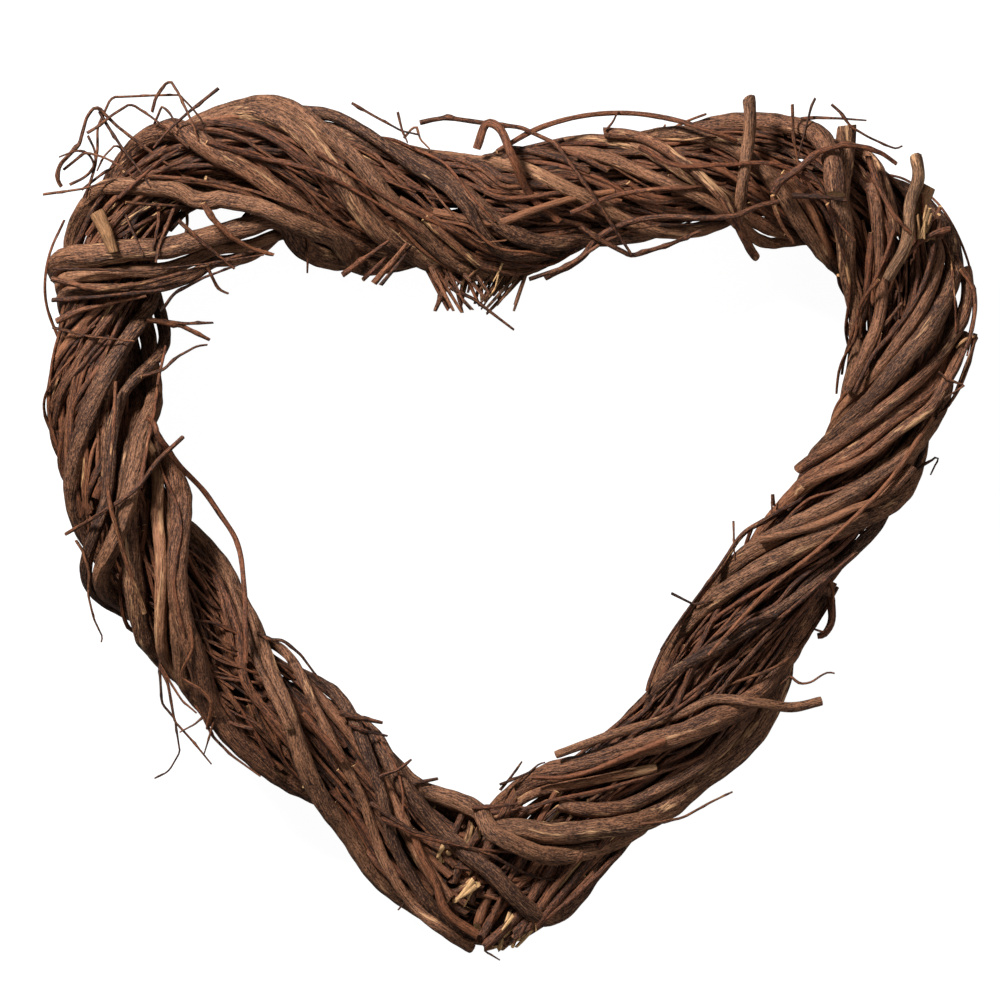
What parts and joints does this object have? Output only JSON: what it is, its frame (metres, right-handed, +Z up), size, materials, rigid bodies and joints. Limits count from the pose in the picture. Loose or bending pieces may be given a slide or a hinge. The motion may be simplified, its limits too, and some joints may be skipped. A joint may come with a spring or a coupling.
{
  "type": "heart wreath of rattan vine",
  "caption": "Open heart-shaped wreath: two bundles of thin vine twigs bent into a heart, wound slantwise with longer bark-covered canes, with loose tendrils and cut ends.",
  "frame": {"origin": "on the surface that the wreath lies on, under the middle of its bounding box", "axes": "+X across the heart, +Y from its tip towards its dip, +Z up from the back to the front"},
  "size_m": [0.345, 0.3244, 0.0604],
  "materials": {
    "bundle_twigs": "rough bark, dark red-brown",
    "cane_bark": "dry striated bark, grey-brown",
    "tendril_bark": "dry bark, red-brown"
  },
  "bodies": {
    "root": {"left_twig_bundle": "bundle_twigs", "right_twig_bundle": "bundle_twigs", "wrap_cane_01": "cane_bark", "wrap_cane_02": "cane_bark", "wrap_cane_03": "cane_bark", "wrap_cane_04": "cane_bark", "wrap_cane_05": "cane_bark", "wrap_cane_06": "cane_bark", "wrap_cane_07": "cane_bark", "wrap_cane_08": "cane_bark", "wrap_cane_09": "cane_bark", "wrap_cane_10": "cane_bark", "wrap_cane_11": "cane_bark", "wrap_cane_12": "cane_bark", "wrap_cane_13": "cane_bark", "wrap_cane_14": "cane_bark", "wrap_cane_15": "cane_bark", "wrap_cane_16": "cane_bark", "wrap_cane_17": "cane_bark", "wrap_cane_18": "cane_bark", "corner_cane_1": "cane_bark", "corner_cane_2": "cane_bark", "corner_cane_3": "cane_bark", "bent_cane": "cane_bark", "cut_cane": "cane_bark", "tip_cane": "cane_bark", "side_cane_1": "cane_bark", "side_cane_2": "cane_bark", "side_cane_3": "cane_bark", "broken_stem": "cane_bark", "bent_stub": "cane_bark", "free_cane": "cane_bark", "dip_twig": "tendril_bark", "arched_tendril_1": "tendril_bark", "arched_tendril_2": "tendril_bark", "cross_tendril": "tendril_bark"}
  },
  "joints": []
}
